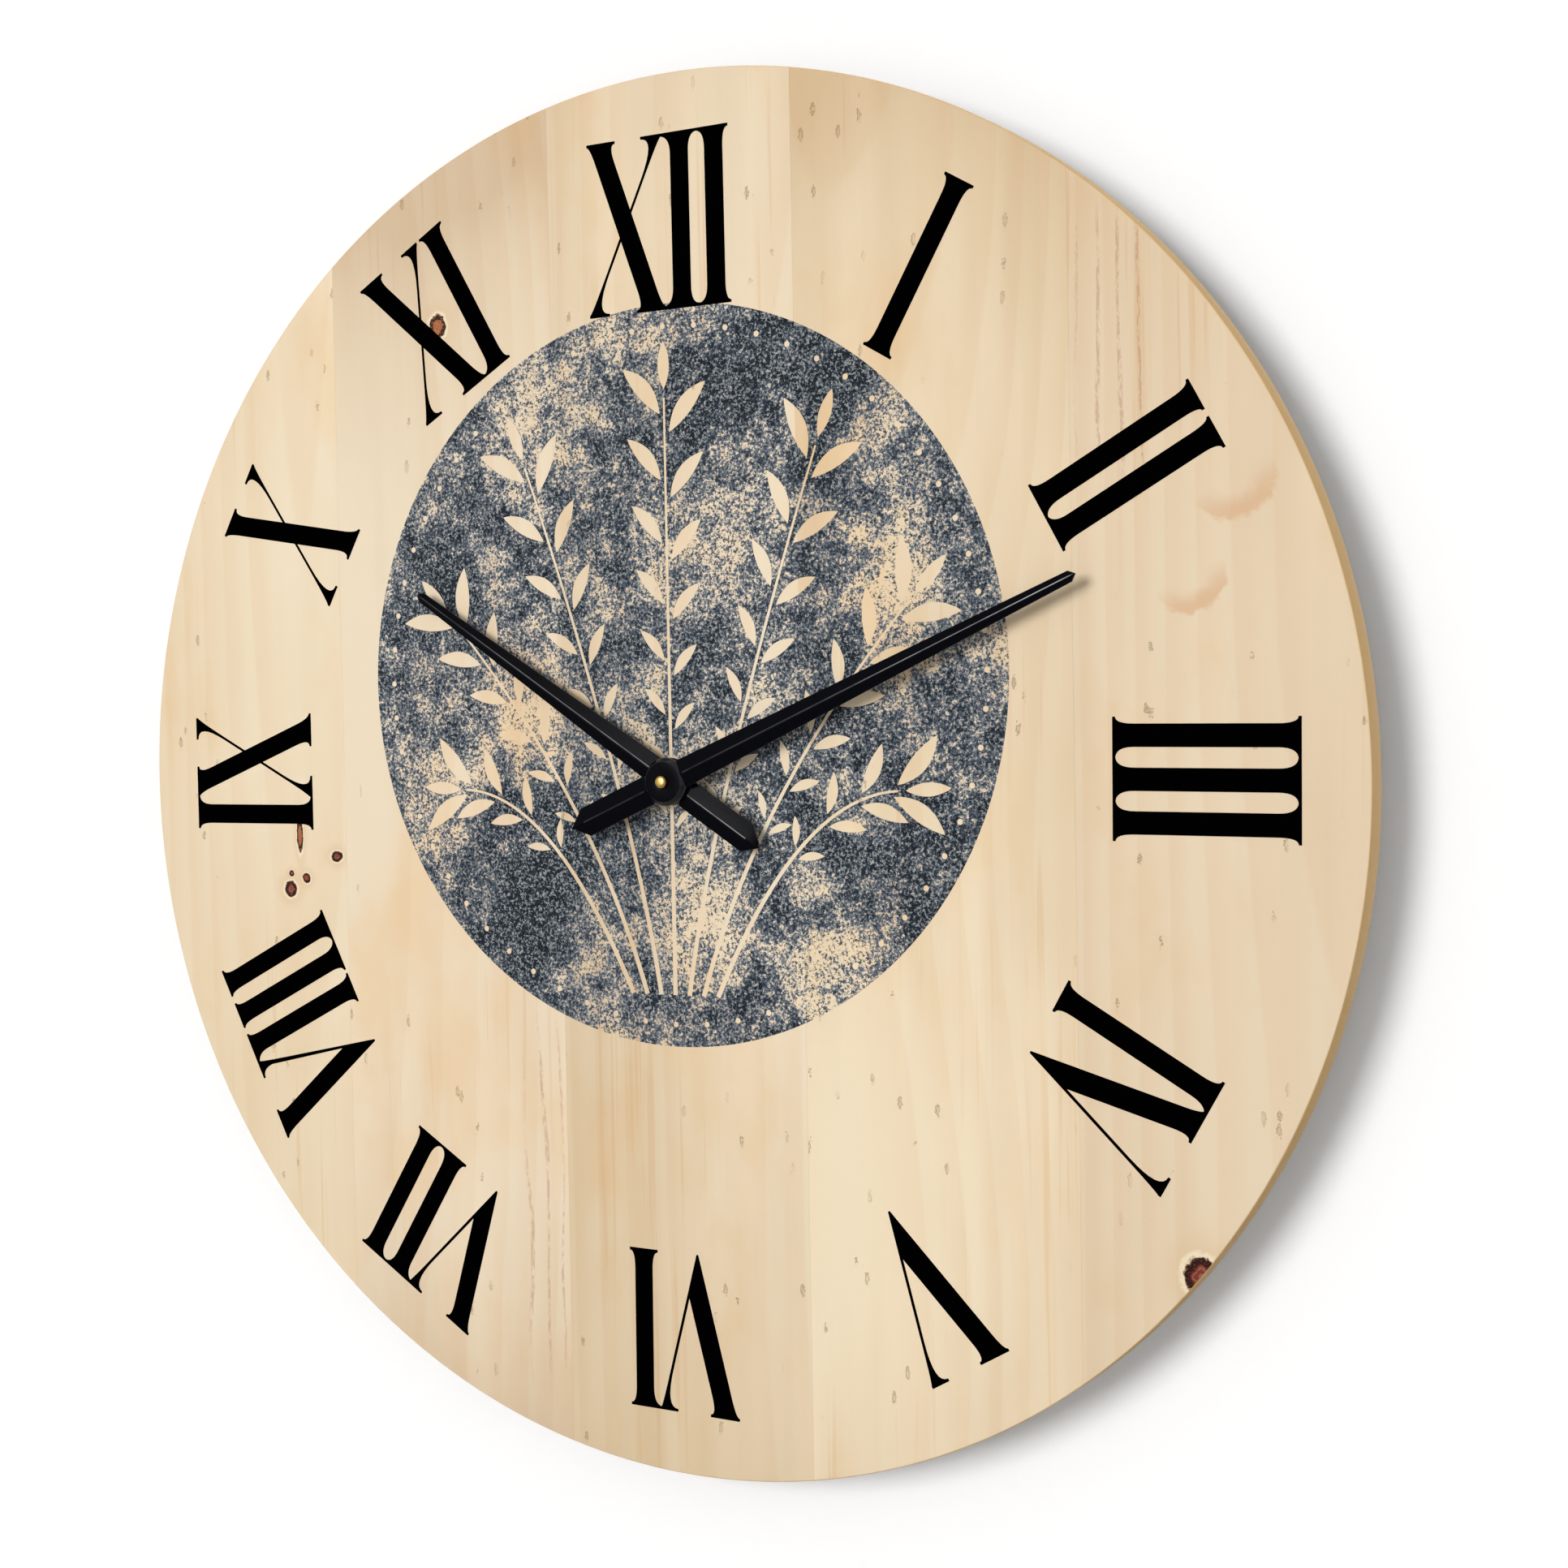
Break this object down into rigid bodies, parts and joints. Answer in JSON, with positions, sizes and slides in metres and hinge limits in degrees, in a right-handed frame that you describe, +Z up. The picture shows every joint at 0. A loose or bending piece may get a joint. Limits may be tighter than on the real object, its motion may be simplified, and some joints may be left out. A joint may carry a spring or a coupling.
{
  "type": "wooden wall clock",
  "caption": "Round wall clock on a disc of edge-glued pine boards, with long pointed black hands, a battery quartz movement and hanging battens behind.",
  "frame": {"origin": "where the shank of the wall screw rests, at the top of the keyhole hanger's slot, in the plane of the wall", "axes": "+Z up, +Y into the wall, so the dial faces -Y, and +X to the right of someone who reads the dial"},
  "size_m": [0.6096, 0.0465, 0.6094],
  "materials": {
    "pine": "satin",
    "batten_pine": "matte",
    "zinc_steel": "satin",
    "black_metal": "satin",
    "brass": "gloss",
    "black_plastic": "matte",
    "white_plastic": "satin",
    "rubber": "matte",
    "copper_wire": "gloss",
    "stator_iron": "satin",
    "magnet": "satin",
    "circuit_green": "satin",
    "cell_jacket": "gloss",
    "chip_resin": "gloss"
  },
  "bodies": {
    "dial": {"board_1": "pine", "board_2": "pine", "board_3": "pine", "board_4": "pine", "board_5": "pine", "upper_batten": "batten_pine", "lower_batten": "batten_pine", "upper_batten_screw_1": "zinc_steel", "upper_batten_screw_2": "zinc_steel", "upper_batten_screw_3": "zinc_steel", "upper_batten_screw_4": "zinc_steel", "upper_batten_screw_5": "zinc_steel", "lower_batten_screw_1": "zinc_steel", "lower_batten_screw_2": "zinc_steel", "lower_batten_screw_3": "zinc_steel", "lower_batten_screw_4": "zinc_steel", "lower_batten_screw_5": "zinc_steel", "keyhole_hanger": "zinc_steel", "hanger_screw_left": "zinc_steel", "hanger_screw_right": "zinc_steel", "movement_base": "black_plastic", "movement_cover": "black_plastic", "train_bridge": "black_plastic", "rubber_gasket": "rubber", "threaded_bushing": "brass", "dial_washer": "brass", "hex_nut": "brass", "circuit_board": "circuit_green", "quartz_crystal": "zinc_steel", "clock_chip": "chip_resin", "stator": "stator_iron", "coil_bobbin": "white_plastic", "coil_winding": "copper_wire", "positive_contact": "zinc_steel", "negative_contact": "zinc_steel"},
    "minute_hand_group": {"minute_arbor": "brass", "centre_wheel": "white_plastic", "minute_hand": "black_metal", "hand_nut": "brass"},
    "hour_hand_group": {"hour_wheel": "brass", "hour_hand": "black_metal", "hour_hand_bush": "brass"},
    "motion_gear": {"motion_wheel": "white_plastic"},
    "knob": {"setting_knob": "black_plastic"},
    "third_gear": {"third_wheel": "white_plastic"},
    "seconds_gear": {"seconds_wheel": "white_plastic"},
    "fifth_gear": {"fifth_wheel": "white_plastic"},
    "rotor": {"rotor_pinion": "white_plastic", "rotor_magnet": "magnet"},
    "cell": {"battery": "cell_jacket"}
  },
  "joints": [
    {"name": "minute_turn", "type": "hinge", "parent": "dial", "child": "minute_hand_group", "pos_m": [0, -0.01, -0.1545], "axis": [0, 1, 0], "continuous": true},
    {"name": "hour_turn", "type": "hinge", "parent": "dial", "child": "hour_hand_group", "pos_m": [0, -0.01, -0.1545], "axis": [0, 1, 0], "continuous": true},
    {"name": "motion_turn", "type": "hinge", "parent": "dial", "child": "motion_gear", "pos_m": [0.0052, -0.01, -0.1575], "axis": [0, 1, 0], "continuous": true},
    {"name": "setting_turn", "type": "hinge", "parent": "dial", "child": "knob", "pos_m": [0.01083, -0.01, -0.15955], "axis": [0, 1, 0], "continuous": true},
    {"name": "third_turn", "type": "hinge", "parent": "dial", "child": "third_gear", "pos_m": [-0.00779, -0.01, -0.15], "axis": [0, 1, 0], "continuous": true},
    {"name": "seconds_turn", "type": "hinge", "parent": "dial", "child": "seconds_gear", "pos_m": [0, -0.01, -0.1545], "axis": [0, 1, 0], "continuous": true},
    {"name": "fifth_turn", "type": "hinge", "parent": "dial", "child": "fifth_gear", "pos_m": [0.00455, -0.01, -0.14662], "axis": [0, 1, 0], "continuous": true},
    {"name": "rotor_turn", "type": "hinge", "parent": "dial", "child": "rotor", "pos_m": [0.00946, -0.01, -0.14318], "axis": [0, 1, 0], "continuous": true},
    {"name": "battery_slide", "type": "slide", "parent": "dial", "child": "cell", "axis": [0, 1, 0], "range_m": [0, 0.03]}
  ],
  "couplings": [
    {"joint": "hour_turn", "follows": "minute_turn", "ratio": 0.083333},
    {"joint": "motion_turn", "follows": "minute_turn", "ratio": -0.33333},
    {"joint": "setting_turn", "follows": "minute_turn", "ratio": 1},
    {"joint": "third_turn", "follows": "minute_turn", "ratio": -8},
    {"joint": "seconds_turn", "follows": "minute_turn", "ratio": 60},
    {"joint": "fifth_turn", "follows": "minute_turn", "ratio": -360},
    {"joint": "rotor_turn", "follows": "minute_turn", "ratio": 1800}
  ]
}
